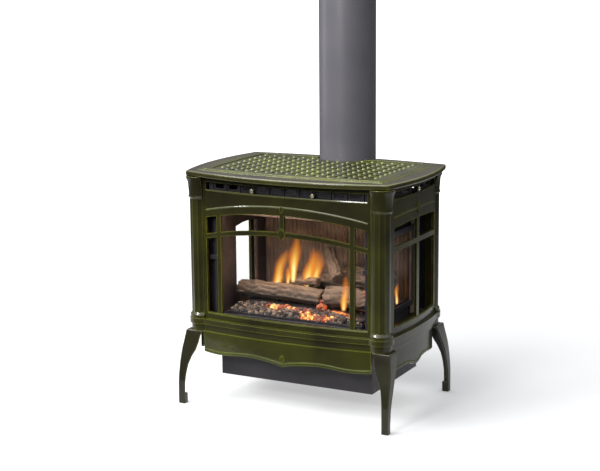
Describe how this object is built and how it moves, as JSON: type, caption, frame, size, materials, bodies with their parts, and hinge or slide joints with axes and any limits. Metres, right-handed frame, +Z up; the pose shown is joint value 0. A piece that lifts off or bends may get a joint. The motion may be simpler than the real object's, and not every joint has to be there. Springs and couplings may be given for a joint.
{
  "type": "direct vent gas stove",
  "caption": "Free-standing direct vent gas stove: enamelled cast iron body on cabriole legs, three-sided glazed firebox with ceramic logs, lattice top and a co-axial pipe.",
  "frame": {"origin": "on the floor, under the middle of the overall box; the box runs from the bow of the top plate to the back of the vent box", "axes": "+Z up, -Y out of the front window, +X to the stove's right-hand side as seen from the front"},
  "size_m": [0.684, 0.551, 1.28],
  "materials": {
    "enamel": "glossy green-brown majolica porcelain enamel over cast iron",
    "black_steel": "satin high-temperature black paint on sheet steel",
    "glass": "clear ceramic glass",
    "log": "rough painted ceramic fibre logs",
    "steel": "bare and zinc plated steel",
    "brass": "bright brass",
    "black_plastic": "matt black plastic",
    "red_plastic": "red plastic",
    "embers": "crushed lava and rock wool, glowing in places",
    "refractory": "dark moulded refractory brick",
    "pipe": "satin charcoal grey paint on steel pipe"
  },
  "bodies": {
    "stove": {"base_casting": "enamel", "post_front_right": "enamel", "post_front_left": "enamel", "post_rear_right": "enamel", "post_rear_left": "enamel", "leg_front_right": "enamel", "leg_front_left": "enamel", "leg_rear_right": "enamel", "leg_rear_left": "enamel", "side_casting_right": "enamel", "side_casting_left": "enamel", "skirt_front": "enamel", "skirt_right": "enamel", "skirt_left": "enamel", "top_plate": "enamel", "side_louvre_right": "black_steel", "side_louvre_left": "black_steel", "firebox": "black_steel", "glass_frame": "black_steel", "side_glass_frame_right": "black_steel", "side_glass_frame_left": "black_steel", "baffle": "black_steel", "burner_pan": "black_steel", "valve_box": "black_steel", "rear_shield": "black_steel", "flue_box": "black_steel", "glass_front": "glass", "glass_right": "glass", "glass_left": "glass", "log_front": "log", "log_right": "log", "log_back": "log", "log_leaning": "log", "log_middle": "log", "pilot": "steel", "door_hinge_pin": "steel", "valve_bracket": "steel", "gas_valve": "steel", "gas_tube": "steel", "inner_flue": "steel", "side_bolt_right": "brass", "side_bolt_left": "brass", "gas_inlet": "brass", "ember_bed": "embers", "rear_refractory": "refractory", "outer_pipe": "pipe"},
    "front": {"front_casting": "enamel", "front_louvre": "black_steel", "front_bolt_right": "brass", "front_bolt_left": "brass"},
    "grille": {"top_grille": "enamel"},
    "door": {"access_door": "black_steel"},
    "latch_right": {"glass_latch_right": "black_steel"},
    "latch_left": {"glass_latch_left": "black_steel"},
    "main_knob": {"control_knob": "black_plastic"},
    "regulator_knob": {"flame_knob": "black_plastic"},
    "button": {"igniter_button": "red_plastic"},
    "rocker": {"rocker_switch": "black_plastic"}
  },
  "joints": [
    {"name": "front_draw", "type": "slide", "parent": "stove", "child": "front", "axis": [0, -1, 0], "range_m": [0, 0.15]},
    {"name": "grille_lift", "type": "slide", "parent": "stove", "child": "grille", "axis": [0, 0, 1], "range_m": [0, 0.12]},
    {"name": "door_hinge", "type": "hinge", "parent": "stove", "child": "door", "pos_m": [-0.246, 0.0025, 0.083], "axis": [0, -1, 0], "range_deg": [0, 110]},
    {"name": "latch_right_turn", "type": "hinge", "parent": "stove", "child": "latch_right", "pos_m": [0.247, -0.1925, 0.43], "axis": [0, 1, 0], "range_deg": [0, 90]},
    {"name": "latch_left_turn", "type": "hinge", "parent": "stove", "child": "latch_left", "pos_m": [-0.247, -0.1925, 0.43], "axis": [0, -1, 0], "range_deg": [0, 90]},
    {"name": "main_knob_turn", "type": "hinge", "parent": "stove", "child": "main_knob", "pos_m": [-0.222, -0.0445, 0.111], "axis": [-1, 0, 0], "range_deg": [0, 180]},
    {"name": "regulator_turn", "type": "hinge", "parent": "stove", "child": "regulator_knob", "pos_m": [-0.222, 0.0015, 0.111], "axis": [-1, 0, 0], "range_deg": [0, 120]},
    {"name": "button_press", "type": "slide", "parent": "stove", "child": "button", "axis": [1, 0, 0], "range_m": [0, 0.004], "stiffness_N_per_m": 400},
    {"name": "rocker_tilt", "type": "hinge", "parent": "stove", "child": "rocker", "pos_m": [-0.218, 0.0595, 0.111], "axis": [0, -1, 0], "range_deg": [0, 12]}
  ]
}
